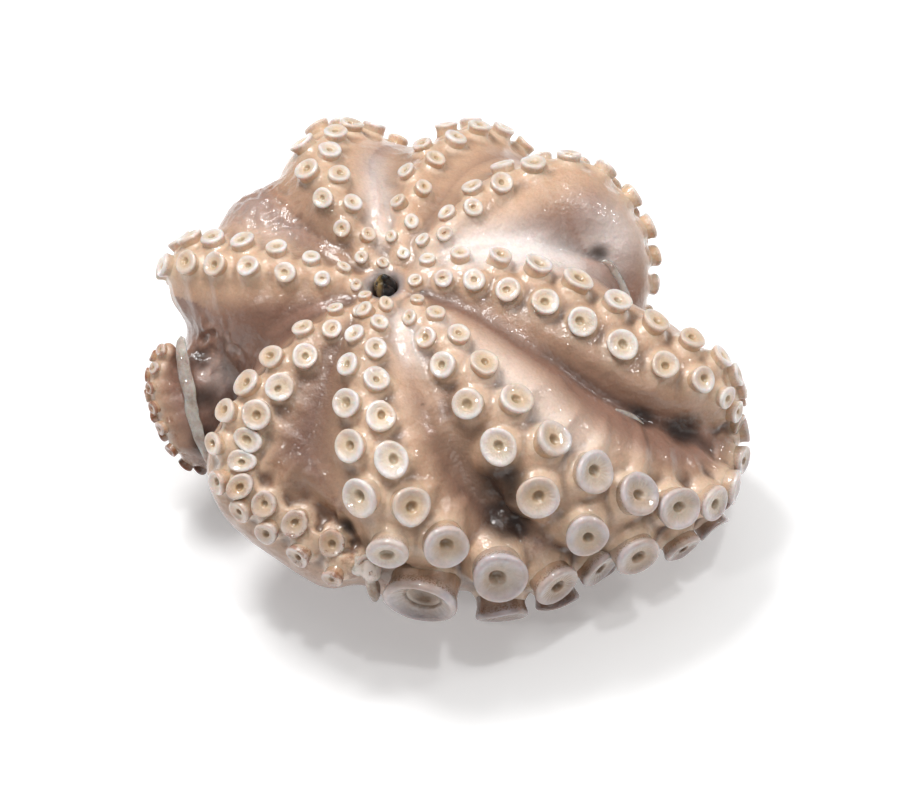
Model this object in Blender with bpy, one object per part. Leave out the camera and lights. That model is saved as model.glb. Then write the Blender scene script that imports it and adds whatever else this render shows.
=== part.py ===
"""A raw octopus, laid mouth up with its eight arms folded down all round it.

Sizes are millimetres until a mesh is made, and metres after that. The body rests on z = 0, the
mouth is on top, and the front, towards which most of the arms fall, is -Y.
"""

import math

import bmesh
import bpy
import numpy as np

MM = 0.001

# The dome that the arms lie on tells which way their sucker faces look.
DOME_CENTRE = np.array([0.0, 0.0, 46.0])
DOME_SEMI = np.array([109.0, 103.0, 64.0])
MOUTH = np.array([-24.0, 1.0, 101.0])

# The web joins the arms: seen from BODY_CENTRE it lies WEB_DEPTH below the middle lines near by, and
# sinks VALLEY_DEPTH more between them. Below BODY_CENTRE it draws in by up to a share of UNDERCUT.
BODY_CENTRE = np.array([0.0, 0.0, 42.0])
BODY_REACH = 95.0
BODY_SOFTNESS = 9.0
WEB_DEPTH = 6.0
VALLEY_DEPTH = 15.0
VALLEY_SPAN = 16.0
UNDERCUT = 0.12
BODY_AROUND = 28
BODY_UP = 14

# What bulges out between the arms, each a centre, half sizes and its segments around and up: the
# mantle, which is the sac under the arms, low at the back; a fold of web that stands as high as the
# arms beside it; and the flesh beside the curled tip on the left.
BULGES = {
    "mantle": ((4, 50, 30), (58, 52, 36), (18, 10)),
    "back_left_fold": ((-63, 40, 80), (25, 20, 19), (10, 6)),
    "left_flesh": ((-93, -2, 46), (13, 26, 24), (10, 6)),
}

# How an arm is made: a rounded section, slim at the mouth and full FULL_AT further on. Its tip ends in
# a nose, in shares of its width. The web reads an arm's middle line at every RIDGE_STEP.
ARM_SIDES = 8
STATION_STEP = 17.0
SECTION_POWER = 2.5
ORAL_TAPER = 0.16
ROOT_SHARE = 0.28
FULL_AT = 75.0
THINNING = 1.7
NOSE_LENGTH = 0.3
NOSE_WIDTH = 0.6
CURVE_STEPS = 12
RIDGE_STEP = 4

# How a sucker is made, in shares of its rim's diameter. An arm's last BARE_TIP has none.
SUCKER_SPLAY = math.radians(20.0)
SUCKER_HEIGHT = 0.36
SUCKER_SUNK = 0.32
BASE_RADIUS = 0.60
NECK_RADIUS = 0.45
NECK_HEIGHT = 0.16
CUP_DEPTH = 0.13
SUCKER_SIDES = [(5, 9.0), (6, 12.5), (7, 18.0)]
MOST_SIDES = 8
NECKED_FROM = 14.0
RIM_RADIUS = 0.5
WIDEST_ROW = 0.85
BARE_TIP = 2.0

# The mouth and the beak in it. A level's radius and height are shares of the mouth's radius and
# depth, its lean is how far it stands off the axis, and its flatness how narrow it is across.
MOUTH_RADIUS = 5.2
MOUTH_DEPTH = 13.0
BEAK_CLEARANCE = 0.35
MOUTH_SIDES = 12
PIT_LEVELS = [(0.75, -1.0, 0.0, 1.0), (1.0, -0.5, 0.0, 1.0), (1.05, 0.0, 0.0, 1.0),
              (2.2, 0.7, 0.0, 1.0)]
BEAK_LEVELS = [(0.55, -1.0, 0.0, 1.0), (0.78, -0.62, 0.0, 0.95), (0.72, -0.4, 0.2, 0.9),
               (0.42, -0.2, 0.9, 0.8), (0.12, -0.1, 1.6, 0.7)]

# What is cut off below the table.
BELOW_LOW = np.array([-200.0, -200.0, -120.0])
BELOW_HIGH = np.array([200.0, 200.0, 0.0])

# The object's middle, seen from above, which goes to the origin.
MIDDLE = np.array([-0.8, -1.7, 0.0])

# Each arm's route is the middle line of its sucker face, from the mouth to the tip. Its suckers' sizes
# are rim diameters, and its pitches the steps between one sucker and the next, in rim diameters; both
# are given at shares of the arm's length. Spread is how far a row stands off the middle line, in rim
# diameters, and first is the row, 1 or -1, that starts. Lean is how far the section's middle stands
# off the sucker rows, and roll how many degrees the sucker face turns about the middle line, at shares
# of the arm's length. lies_to is the share of its length up to which the web follows an arm.
ARMS = {
    "back_left": {
        "route": [(-26, 8, 99), (-40, 30, 109), (-50, 56, 108), (-44, 79, 97), (-28, 91, 78),
                  (-8, 88, 42), (-2, 82, 20)],
        "sizes": [(0, 4.4), (0.12, 6.8), (0.25, 8.8), (0.4, 9.6), (0.7, 9), (1, 5)],
        "pitch": [(0, 1.25), (0.2, 0.85), (0.45, 0.82), (1, 0.75)],
        "start": 1.5, "first": 1, "spread": 0.5,
        "width": 34, "depth": 26, "tip": 0.35,
        "lean": [(0.15, 0), (0.4, -3)],
    },
    "back": {
        "route": [(-20, 11, 102), (-15, 34, 108), (-7, 63, 102), (10, 86, 90), (27, 92, 70),
                  (45, 86, 32), (53, 77, 14)],
        "sizes": [(0, 4.4), (0.12, 6.2), (0.3, 8), (0.5, 9), (0.7, 8.4), (1, 5)],
        "pitch": [(0, 1.3), (0.2, 1.3), (0.45, 0.86), (0.8, 0.6), (1, 0.7)],
        "start": 2.2, "first": 1, "spread": 0.52,
        "width": 29, "depth": 25, "tip": 0.35,
    },
    "back_right": {
        "route": [(-16, 7, 102), (1, 24, 109), (23, 49, 106), (49, 60, 97), (70, 47, 82),
                  (73, 28, 61), (62, 4, 41)],
        "sizes": [(0, 4.4), (0.12, 6.4), (0.3, 9), (0.5, 10), (0.7, 9.5), (1, 7)],
        "pitch": [(0, 1.29), (0.2, 1.07), (0.45, 0.79), (0.7, 0.55), (1, 0.75)],
        "start": 11.5, "first": -1, "spread": 0.38,
        "width": 33, "depth": 30, "tip": 0.45,
        "roll": [(0.25, 0), (0.5, -47), (1, -57)],
    },
    "right": {
        "route": [(-19, 3, 103), (7, 4, 106), (37, -4, 103), (68, -17, 93), (98, -24, 78),
                  (108, -20, 48), (95, 0, 18)],
        "sizes": [(0, 4.4), (0.12, 8), (0.25, 10), (0.45, 11), (0.65, 9), (1, 6)],
        "pitch": [(0, 0.96), (0.2, 0.73), (0.45, 0.77), (0.8, 0.6), (1, 0.7)],
        "start": 6.2, "first": 1, "spread": 0.67,
        "width": 33, "depth": 31, "tip": 0.35,
    },
    "front_right": {
        "route": [(-16, -9, 103), (-3, -27, 105), (16, -54, 99), (39, -74, 83), (70, -76, 58),
                  (97, -60, 43), (108, -32, 40), (106, -19, 38)],
        "sizes": [(0, 5), (0.1, 8), (0.2, 10.6), (0.35, 13.4), (0.5, 16), (0.6, 17), (0.75, 14),
                  (1, 9)],
        "pitch": [(0, 0.88), (0.2, 0.8), (0.45, 0.72), (0.8, 0.55), (1, 0.7)],
        "start": 3.1, "first": -1, "spread": 0.54,
        "width": 41, "depth": 33, "tip": 0.42,
    },
    "front": {
        "route": [(-24, -6, 104), (-30, -29, 105), (-29, -60, 99), (-19, -88, 82), (5, -97, 54),
                  (36, -91, 38), (65, -69, 30), (78, -59, 24)],
        "sizes": [(0, 5), (0.1, 7.5), (0.2, 10), (0.35, 12.5), (0.5, 15.7), (0.56, 25.6), (0.63, 20),
                  (0.7, 18), (0.85, 15), (1, 10)],
        "pitch": [(0, 0.9), (0.2, 0.71), (0.45, 0.72), (0.5, 0.9), (0.56, 0.58), (0.63, 0.61),
                  (1, 0.65)],
        "start": 5.5, "first": -1, "spread": 0.48,
        "width": 37, "depth": 31, "tip": 0.4,
    },
    "front_left": {
        "route": [(-27, -6, 101), (-45, -20, 102), (-62, -36, 95), (-75, -50, 84), (-77, -64, 73),
                  (-64, -76, 67), (-40, -92, 59), (-27, -98, 52)],
        "sizes": [(0, 4.6), (0.12, 6.5), (0.25, 9.4), (0.45, 10.8), (0.7, 10.8), (0.85, 10.5),
                  (1, 8)],
        "pitch": [(0, 1.28), (0.2, 0.86), (0.42, 0.48), (0.62, 0.48), (0.75, 0.66), (1, 0.75)],
        "start": 2.7, "first": 1, "spread": 0.47,
        "width": 29, "depth": 27, "tip": 1.4,
        "lean": [(0.4, 0), (0.6, 10), (1, 9)],
    },
    "left": {
        "route": [(-29, 2, 100), (-48, 5, 103), (-75, 14, 100), (-102, 26, 86), (-102, 40, 57),
                  (-95, 25, 25), (-91, -15, 17), (-103, -31, 39), (-112, -17, 58), (-107, -2, 71)],
        "sizes": [(0, 4.4), (0.06, 6), (0.15, 8.6), (0.3, 9.8), (0.55, 8), (0.75, 6.4), (1, 4.6)],
        "pitch": [(0, 1.26), (0.12, 0.9), (0.25, 0.62), (0.45, 0.7), (1, 0.75)],
        "start": 4.6, "first": -1, "spread": 0.55,
        "width": 31, "depth": 27, "tip": 0.25, "lies_to": 0.57,
    },
}

FLESH = (0.78, 0.66, 0.56)
HORN = (0.02, 0.016, 0.014)
FLESH_ROUGHNESS = 0.35
HORN_ROUGHNESS = 0.2
NEARLY_ALONG_X = 0.8


def clear_scene():
    for item in list(bpy.data.objects):
        bpy.data.objects.remove(item)


def unit(vectors):
    return vectors / np.linalg.norm(vectors, axis=-1, keepdims=True)


def dome_normal(points):
    """The outward direction of the dome at points on or near it."""
    return unit((points - DOME_CENTRE) / DOME_SEMI**2)


def across_axis(axis):
    """Two directions square to axis and to each other."""
    helper = np.array([1.0, 0.0, 0.0]) if abs(axis[0]) < NEARLY_ALONG_X else np.array([0.0, 1.0, 0.0])
    u = unit(np.cross(axis, helper))
    return u, np.cross(axis, u)


def smooth_line(controls, count):
    """count rows evenly spaced by length along a Catmull-Rom curve through the control rows."""
    rows = np.array(controls, float)
    rows = np.vstack([2 * rows[0] - rows[1], rows, 2 * rows[-1] - rows[-2]])
    fine = []
    for a, b, c, d in zip(rows, rows[1:], rows[2:], rows[3:]):
        for t in np.linspace(0.0, 1.0, CURVE_STEPS, endpoint=False):
            fine.append(0.5 * (2 * b + (c - a) * t + (2 * a - 5 * b + 4 * c - d) * t**2
                               + (3 * b - a - 3 * c + d) * t**3))
    fine = np.array(fine + [rows[-2]])
    along = np.concatenate([[0.0], np.cumsum(np.linalg.norm(np.diff(fine, axis=0), axis=1))])
    wanted = np.linspace(0.0, along[-1], count)
    return np.stack([np.interp(wanted, along, column) for column in fine.T], axis=1), along[-1]


def read_off(pairs, share):
    """The value at a share of an arm's length, from (share, value) pairs."""
    shares, values = zip(*pairs)
    return float(np.interp(share, shares, values))


class Arm:
    """One arm: its face's middle line, the frame along it, and its sizes at a share of its length."""

    def __init__(self, name, facts):
        self.name = name
        self.facts = facts
        self.length = smooth_line(facts["route"], 2)[1]
        self.ridge = smooth_line(facts["route"], round(self.length))[0] - MIDDLE
        self.shares = np.linspace(0.0, 1.0, len(self.ridge))
        self.tangent = unit(np.gradient(self.ridge, axis=0))
        self.side = unit(np.cross(self.tangent, dome_normal(self.ridge + MIDDLE)))
        facing = unit(np.cross(self.side, self.tangent))
        rolls = facts.get("roll", [(0, 0)])
        turn = np.radians([read_off(rolls, share) for share in self.shares])[:, None]
        self.facing = facing * np.cos(turn) + self.side * np.sin(turn)
        self.side = self.side * np.cos(turn) - facing * np.sin(turn)

    def at(self, rows, share):
        return np.array([np.interp(share, self.shares, column) for column in rows.T])

    def fullness(self, share):
        rise = min(1.0, share * self.length / FULL_AT)
        grown = ROOT_SHARE + (1.0 - ROOT_SHARE) * math.sin(rise * math.pi / 2)
        full = FULL_AT / self.length
        fall = max(0.0, (share - full) / (1.0 - full)) ** THINNING
        return grown * (1.0 - (1.0 - self.facts["tip"]) * fall)

    def width(self, share):
        return self.facts["width"] * self.fullness(share)

    def depth(self, share):
        return self.facts["depth"] * self.fullness(share)

    def lean(self, share):
        return read_off(self.facts.get("lean", [(0, 0)]), share)

    def surface(self, share, angle):
        """A point of the arm's skin, where angle 90 degrees is the middle of the sucker face."""
        power = 2.0 / SECTION_POWER
        across = math.copysign(abs(math.cos(angle)) ** power, math.cos(angle))
        out = math.copysign(abs(math.sin(angle)) ** power, math.sin(angle))
        across *= self.width(share) / 2 * (1.0 - ORAL_TAPER * out)
        across += self.lean(share)
        return (self.at(self.ridge, share) + self.at(self.side, share) * across
                + self.at(self.facing, share) * self.depth(share) / 2 * (out - 1.0))

    def suckers(self):
        """(foot, axis, diameter) of each sucker, in two rows that take turns.

        A foot beyond WIDEST_ROW is raised, so that the flesh beside it doesn't bury it.
        """
        found = []
        along, row = self.facts["start"], self.facts["first"]
        while along < self.length - BARE_TIP:
            share = along / self.length
            size = read_off(self.facts["sizes"], share)
            off_middle = row * self.facts["spread"] * size - self.lean(share)
            across = 2.0 * off_middle / self.width(share) / (1.0 - ORAL_TAPER)
            bend = min(WIDEST_ROW, abs(across)) ** (SECTION_POWER / 2)
            angle = math.acos(math.copysign(bend, across))
            axis = unit(self.at(self.facing, share) * math.cos(SUCKER_SPLAY)
                        + self.at(self.side, share) * row * math.sin(SUCKER_SPLAY))
            buried = max(0.0, abs(across) - WIDEST_ROW) * self.width(share) / 2
            foot = self.surface(share, angle) + self.at(self.facing, share) * buried
            found.append((foot, axis, size))
            along += read_off(self.facts["pitch"], share) * size
            row = -row
        return found


def object_from(name, mesh_maker, colour, roughness):
    """A new object whose mesh mesh_maker(bm) fills in."""
    mesh = bpy.data.meshes.new(name)
    bm = bmesh.new()
    mesh_maker(bm)
    bmesh.ops.recalc_face_normals(bm, faces=bm.faces)
    bm.to_mesh(mesh)
    bm.free()
    item = bpy.data.objects.new(name, mesh)
    bpy.context.scene.collection.objects.link(item)
    material = bpy.data.materials.get(name) or bpy.data.materials.new(name)
    material.use_nodes = True
    shader = material.node_tree.nodes["Principled BSDF"]
    shader.inputs["Base Color"].default_value = (*colour, 1.0)
    shader.inputs["Roughness"].default_value = roughness
    mesh.materials.append(material)
    return item


def rings_to_faces(bm, rings):
    """Skins closed rings of points, in metres, with quads, and caps both ends."""
    made = [[bm.verts.new(point) for point in ring] for ring in rings]
    for lower, upper in zip(made, made[1:]):
        for i in range(len(lower)):
            j = (i + 1) % len(lower)
            bm.faces.new((lower[i], lower[j], upper[j], upper[i]))
    bm.faces.new(made[0][::-1])
    bm.faces.new(made[-1])


def make_arm(bm, arm):
    stations = np.linspace(0.0, 1.0, round(arm.length / STATION_STEP))
    angles = (np.arange(ARM_SIDES) + 0.5) * 2 * math.pi / ARM_SIDES
    rings = [np.array([arm.surface(share, angle) for angle in angles]) * MM for share in stations]
    middle = rings[-1].mean(axis=0)
    nose = arm.tangent[-1] * arm.width(1.0) * NOSE_LENGTH * MM
    rings.append(middle + (rings[-1] - middle) * NOSE_WIDTH + nose)
    rings_to_faces(bm, rings)


def make_sucker(bm, foot, axis, size):
    """A short stalk that widens into a cup with a sunk middle."""
    sides = next((count for count, below in SUCKER_SIDES if size < below), MOST_SIDES)
    levels = [(BASE_RADIUS, -SUCKER_SUNK), (NECK_RADIUS, NECK_HEIGHT), (RIM_RADIUS, SUCKER_HEIGHT)]
    if size < NECKED_FROM:
        levels = [levels[0], levels[2]]
    u, v = across_axis(axis)
    turns = np.arange(sides) * 2 * math.pi / sides
    circle = np.outer(np.cos(turns), u) + np.outer(np.sin(turns), v)
    rings = [[bm.verts.new(point * MM) for point in foot + size * (radius * circle + height * axis)]
             for radius, height in levels]
    for lower, upper in zip(rings, rings[1:]):
        for i in range(sides):
            j = (i + 1) % sides
            bm.faces.new((lower[i], lower[j], upper[j], upper[i]))
    middle = bm.verts.new((foot + size * (SUCKER_HEIGHT - CUP_DEPTH) * axis) * MM)
    for i in range(sides):
        bm.faces.new((rings[-1][i], rings[-1][(i + 1) % sides], middle))
    bm.faces.new(rings[0][::-1])


def make_body(bm, arms):
    """The web and what is under it, as a radius in each direction from BODY_CENTRE."""
    bmesh.ops.create_uvsphere(bm, u_segments=BODY_AROUND, v_segments=BODY_UP, radius=1.0)
    lines, halves = [], []
    for arm in arms:
        lying = arm.shares[::RIDGE_STEP] <= arm.facts.get("lies_to", 1.0)
        lines.append(arm.ridge[::RIDGE_STEP][lying])
        halves.append([arm.width(share) / 2 for share in arm.shares[::RIDGE_STEP][lying]])
    offsets = np.vstack(lines) + MIDDLE - BODY_CENTRE
    halves = np.concatenate(halves)
    radii = np.linalg.norm(offsets, axis=1)
    directions = offsets / radii[:, None]
    for vert in bm.verts:
        way = np.array(vert.co)
        away = BODY_REACH * np.linalg.norm(directions - way, axis=1)
        pull = 1.0 / (away**2 + BODY_SOFTNESS**2) ** 2
        gap = max(0.0, float((away - halves).min()))
        sag = VALLEY_DEPTH * (1.0 - math.exp(-((gap / VALLEY_SPAN) ** 2)))
        radius = float((pull * radii).sum() / pull.sum()) - WEB_DEPTH - sag
        low = min(1.0, max(0.0, -way[2] * radius / BODY_CENTRE[2]))
        way = way * radius * (1.0 - UNDERCUT * low * np.array([1.0, 1.0, 0.0]))
        vert.co = (BODY_CENTRE + way - MIDDLE) * MM


def make_ball(bm, centre, semi, segments):
    bmesh.ops.create_uvsphere(bm, u_segments=segments[0], v_segments=segments[1], radius=1.0)
    for vert in bm.verts:
        vert.co = (np.array(centre) + np.array(vert.co) * np.array(semi) - MIDDLE) * MM


def make_box(bm, low, high):
    bmesh.ops.create_cube(bm, size=1.0)
    for vert in bm.verts:
        vert.co = ((low + high) / 2 + np.array(vert.co) * (high - low)) * MM


def mouth_rings(bm, levels, floor):
    """A closed body of rings round the mouth's axis, none lower than floor."""
    axis = dome_normal(MOUTH)
    u, v = across_axis(axis)
    turns = np.arange(MOUTH_SIDES) * 2 * math.pi / MOUTH_SIDES
    rings = []
    for radius, height, lean, flatness in levels:
        circle = np.outer(np.cos(turns), u) + flatness * np.outer(np.sin(turns), v)
        middle = MOUTH - MIDDLE + lean * u + max(floor, height * MOUTH_DEPTH) * axis
        rings.append((middle + radius * MOUTH_RADIUS * circle) * MM)
    rings_to_faces(bm, rings)


def make_mouth_pit(bm):
    """What is cut out for the mouth: a round pit that opens outwards."""
    mouth_rings(bm, PIT_LEVELS, -MOUTH_DEPTH)


def make_beak(bm):
    """The horny beak stands just over the pit's floor and rises to a hooked point."""
    mouth_rings(bm, BEAK_LEVELS, BEAK_CLEARANCE - MOUTH_DEPTH)


def boolean(item, others, operation):
    """Joins or cuts item with the objects others, applies it, and removes them."""
    group = bpy.data.collections.new("others")
    bpy.context.scene.collection.children.link(group)
    for other in others:
        group.objects.link(other)
    modifier = item.modifiers.new("join", "BOOLEAN")
    modifier.operation = operation
    modifier.solver = "EXACT"
    modifier.operand_type = "COLLECTION"
    modifier.collection = group
    graph = bpy.context.evaluated_depsgraph_get()
    mesh = bpy.data.meshes.new_from_object(item.evaluated_get(graph))
    item.modifiers.clear()
    item.data = mesh
    for other in others:
        bpy.data.objects.remove(other)
    bpy.data.collections.remove(group)


def keep_largest_shell(item):
    """Drops loose scraps and fills sealed hollows, which are shells of their own."""
    bm = bmesh.new()
    bm.from_mesh(item.data)
    unseen, shells = set(bm.faces), []
    while unseen:
        shell, to_visit = [], [unseen.pop()]
        while to_visit:
            face = to_visit.pop()
            shell.append(face)
            near = {other for edge in face.edges for other in edge.link_faces} & unseen
            unseen -= near
            to_visit.extend(near)
        shells.append(shell)
    largest = max(shells, key=len)
    spare = [face for shell in shells if shell is not largest for face in shell]
    bmesh.ops.delete(bm, geom=spare, context="FACES")
    bm.to_mesh(item.data)
    bm.free()


def build():
    clear_scene()
    arms = [Arm(name, facts) for name, facts in ARMS.items()]

    def flesh(name, maker):
        return object_from(name, maker, FLESH, FLESH_ROUGHNESS)

    octopus = flesh("octopus", lambda bm: make_body(bm, arms))
    joined = [flesh(name, lambda bm: make_ball(bm, *sizes)) for name, sizes in BULGES.items()]
    for arm in arms:
        joined.append(flesh(arm.name, lambda bm: make_arm(bm, arm)))
        for foot, axis, size in arm.suckers():
            joined.append(flesh("sucker", lambda bm: make_sucker(bm, foot, axis, size)))
    boolean(octopus, joined, "UNION")
    boolean(octopus, [flesh("pit", make_mouth_pit),
                      flesh("below", lambda bm: make_box(bm, BELOW_LOW, BELOW_HIGH))], "DIFFERENCE")
    keep_largest_shell(octopus)
    object_from("beak", make_beak, HORN, HORN_ROUGHNESS)


build()
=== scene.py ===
"""A raw octopus, laid mouth up, with its wet skin, suckers, beak and torn edges.

Sizes are millimetres until a mesh is made, and metres after that.
"""

import math

import bmesh
import bpy
import numpy as np
from mathutils import Matrix, Vector, bvhtree, kdtree, noise


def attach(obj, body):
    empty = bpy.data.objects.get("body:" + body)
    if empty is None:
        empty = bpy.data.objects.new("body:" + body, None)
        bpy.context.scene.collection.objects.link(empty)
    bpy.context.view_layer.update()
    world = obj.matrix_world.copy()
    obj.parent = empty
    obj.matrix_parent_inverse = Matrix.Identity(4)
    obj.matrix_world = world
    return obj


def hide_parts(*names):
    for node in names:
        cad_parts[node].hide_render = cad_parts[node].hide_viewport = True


bl_info = {
    "name": "Raw octopus",
    "version": (1, 0, 0),
    "blender": (4, 5, 0),
    "location": "3D View > Sidebar > Octopus",
    "description": "Adds a wet raw octopus laid mouth up",
    "category": "Add Mesh",
}

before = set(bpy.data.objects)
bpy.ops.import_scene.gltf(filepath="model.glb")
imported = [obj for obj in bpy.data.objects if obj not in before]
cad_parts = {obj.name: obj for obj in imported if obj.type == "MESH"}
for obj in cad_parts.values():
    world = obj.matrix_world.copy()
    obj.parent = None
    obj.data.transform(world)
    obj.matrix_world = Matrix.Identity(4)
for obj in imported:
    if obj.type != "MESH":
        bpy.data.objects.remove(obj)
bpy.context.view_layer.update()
SEED = 5
noise.seed_set(SEED)

MM = 0.001

# The shape's driving sizes, as the solids have them.
DOME_CENTRE = np.array([0.0, 0.0, 46.0])
DOME_SEMI = np.array([109.0, 103.0, 64.0])
MOUTH = np.array([-24.0, 1.0, 101.0])
MIDDLE = np.array([-0.8, -1.7, 0.0])
BODY_CENTRE = np.array([0.0, 0.0, 42.0])
BODY_REACH = 95.0
BODY_SOFTNESS = 9.0
WEB_DEPTH = 6.0
VALLEY_DEPTH = 15.0
VALLEY_SPAN = 16.0
UNDERCUT = 0.12
BULGES = {
    "mantle": ((4, 50, 30), (58, 52, 36)),
    "back_left_fold": ((-63, 40, 80), (25, 20, 19)),
    "left_flesh": ((-92, -2, 44), (11, 25, 23)),
}
SECTION_POWER = 2.5
ORAL_TAPER = 0.16
ROOT_SHARE = 0.28
FULL_AT = 75.0
THINNING = 1.7
CURVE_STEPS = 12
RIDGE_STEP = 4
SUCKER_SPLAY = math.radians(20.0)
SUCKER_HEIGHT = 0.36
WIDEST_ROW = 0.85
BARE_TIP = 2.0
MOUTH_RADIUS = 5.2

# Each arm's route is the middle line of its sucker face, from the mouth to the tip. Sizes are rim
# diameters and pitches the steps between suckers, in rim diameters, at shares of the arm's length.
ARMS = {
    "back_left": {
        "route": [(-26, 8, 99), (-40, 30, 109), (-50, 56, 108), (-44, 79, 97), (-28, 91, 78),
                  (-8, 88, 42), (-2, 82, 20)],
        "sizes": [(0, 4.4), (0.12, 6.8), (0.25, 8.8), (0.4, 9.6), (0.7, 9), (1, 5)],
        "pitch": [(0, 1.25), (0.2, 0.85), (0.45, 0.82), (1, 0.75)],
        "start": 1.5, "first": 1, "spread": 0.5,
        "width": 34, "depth": 26, "tip": 0.35,
        "lean": [(0.15, 0), (0.4, -3)],
    },
    "back": {
        "route": [(-20, 11, 102), (-15, 34, 108), (-7, 63, 102), (10, 86, 90), (27, 92, 70),
                  (45, 86, 32), (53, 77, 14)],
        "sizes": [(0, 4.4), (0.12, 6.2), (0.3, 8), (0.5, 9), (0.7, 8.4), (1, 5)],
        "pitch": [(0, 1.3), (0.2, 1.3), (0.45, 0.86), (0.8, 0.6), (1, 0.7)],
        "start": 2.2, "first": 1, "spread": 0.52,
        "width": 29, "depth": 25, "tip": 0.35,
    },
    "back_right": {
        "route": [(-16, 7, 102), (1, 24, 109), (23, 49, 106), (49, 60, 97), (70, 47, 82),
                  (73, 28, 61), (62, 4, 41)],
        "sizes": [(0, 4.4), (0.12, 6.4), (0.3, 9), (0.5, 10), (0.7, 9.5), (1, 7)],
        "pitch": [(0, 1.29), (0.2, 1.07), (0.45, 0.79), (0.7, 0.55), (1, 0.75)],
        "start": 11.5, "first": -1, "spread": 0.38,
        "width": 33, "depth": 30, "tip": 0.45,
        "roll": [(0.25, 0), (0.5, -47), (1, -57)],
    },
    "right": {
        "route": [(-19, 3, 103), (7, 4, 106), (37, -4, 103), (68, -17, 93), (98, -24, 78),
                  (108, -20, 48), (95, 0, 18)],
        "sizes": [(0, 4.4), (0.12, 8), (0.25, 10), (0.45, 11), (0.65, 9), (1, 6)],
        "pitch": [(0, 0.96), (0.2, 0.73), (0.45, 0.77), (0.8, 0.6), (1, 0.7)],
        "start": 6.2, "first": 1, "spread": 0.67,
        "width": 33, "depth": 31, "tip": 0.35,
    },
    "front_right": {
        "route": [(-16, -9, 103), (-3, -27, 105), (16, -54, 99), (39, -74, 83), (70, -76, 58),
                  (97, -60, 43), (108, -32, 40), (106, -19, 38)],
        "sizes": [(0, 5), (0.1, 8), (0.2, 10.6), (0.35, 13.4), (0.5, 16), (0.6, 17), (0.75, 14),
                  (1, 9)],
        "pitch": [(0, 0.88), (0.2, 0.8), (0.45, 0.72), (0.8, 0.55), (1, 0.7)],
        "start": 3.1, "first": -1, "spread": 0.54,
        "width": 41, "depth": 33, "tip": 0.42,
    },
    "front": {
        "route": [(-24, -6, 104), (-30, -29, 105), (-29, -60, 99), (-19, -88, 82), (5, -97, 54),
                  (36, -91, 38), (65, -69, 30), (78, -59, 24)],
        "sizes": [(0, 5), (0.1, 7.5), (0.2, 10), (0.35, 12.5), (0.5, 15.7), (0.56, 25.6), (0.63, 20),
                  (0.7, 18), (0.85, 15), (1, 10)],
        "pitch": [(0, 0.9), (0.2, 0.71), (0.45, 0.72), (0.5, 0.9), (0.56, 0.58), (0.63, 0.61),
                  (1, 0.65)],
        "start": 5.5, "first": -1, "spread": 0.48,
        "width": 37, "depth": 31, "tip": 0.4,
    },
    "front_left": {
        "route": [(-27, -6, 101), (-45, -20, 102), (-62, -36, 95), (-75, -50, 84), (-77, -64, 73),
                  (-64, -76, 67), (-40, -92, 59), (-27, -98, 52)],
        "sizes": [(0, 4.6), (0.12, 6.5), (0.25, 9.4), (0.45, 10.8), (0.7, 10.8), (0.85, 10.5),
                  (1, 8)],
        "pitch": [(0, 1.28), (0.2, 0.86), (0.42, 0.48), (0.62, 0.48), (0.75, 0.66), (1, 0.75)],
        "start": 2.7, "first": 1, "spread": 0.47,
        "width": 29, "depth": 27, "tip": 1.4,
        "lean": [(0.4, 0), (0.6, 10), (1, 9)],
    },
    "left": {
        "route": [(-29, 2, 100), (-48, 5, 103), (-75, 14, 100), (-102, 26, 86), (-102, 40, 57),
                  (-95, 25, 25), (-91, -15, 17), (-103, -31, 39), (-112, -17, 58), (-107, -2, 71)],
        "sizes": [(0, 4.4), (0.06, 6), (0.15, 8.6), (0.3, 9.8), (0.55, 8), (0.75, 6.4), (1, 4.6)],
        "pitch": [(0, 1.26), (0.12, 0.9), (0.25, 0.62), (0.45, 0.7), (1, 0.75)],
        "start": 4.6, "first": -1, "spread": 0.55,
        "width": 31, "depth": 27, "tip": 0.25, "lies_to": 0.57,
    },
}

# Where suckers are squeezed along the arm, and how stained the skin is, at shares of its length.
SQUEEZE = {"front_left": [(0.38, 1.0), (0.5, 0.74), (0.8, 0.86), (1, 0.9)]}
STAIN = {
    "front_left": [(0.45, 0.0), (0.7, 0.55), (1, 1.0)],
    "left": [(0.55, 0.0), (0.75, 0.8), (1, 0.9)],
}

# Ridges of web that stand along the valley between two arms: how far out they start and end, and how
# thick they are.
WEB_RIDGES = [
    ("back_left", "back", 8.0, 46.0, 1.9),
    ("front_right", "front", 6.0, 34.0, 1.7),
    ("right", "back_right", 14.0, 60.0, 1.4),
    ("left", "back_left", 10.0, 50.0, 1.6),
    ("front_left", "left", 12.0, 54.0, 1.5),
]

# How far a sucker's stalk runs on down the arm's flank as a rib, in rim diameters, in each row.
RIBS = {
    "front_left": {-1: 2.6, 1: 1.5},
    "left": {-1: 2.2, 1: 1.3},
    "front_right": {-1: 1.9, 1: 1.2},
}
PLAIN_RIB = 1.25

# Where the pitch is less than this, the stalks stand too close to flare.
CROWDED = 0.62

# Painted shade in the skin's hollows, and dark specks: middle and radius.
HOLLOWS = [
    ((-92, -4, 63), 5.5), ((-91, -16, 56), 6.0), ((-91, -29, 46), 6.0), ((-91, -40, 37), 6.0),
    ((19, -71, 80), 11.0), ((21, -77, 68), 10.0),
    ((56, 28, 87), 5.0), ((85, -36, 64), 8.0), ((69, -37, 72), 6.0), ((-34, -78, 67), 5.0),
    ((-24, -86, 66), 6.0), ((-9, -2, 101), 1.0), ((-9, -49, 97), 1.0),
]

# Where the skin is crumpled: middle, radius and how deep.
CRUMPLED = [((-62, 41, 84), 27.0, 0.8), ((-86, -6, 72), 17.0, 1.0), ((-38, -80, 62), 14.0, 0.8)]
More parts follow.
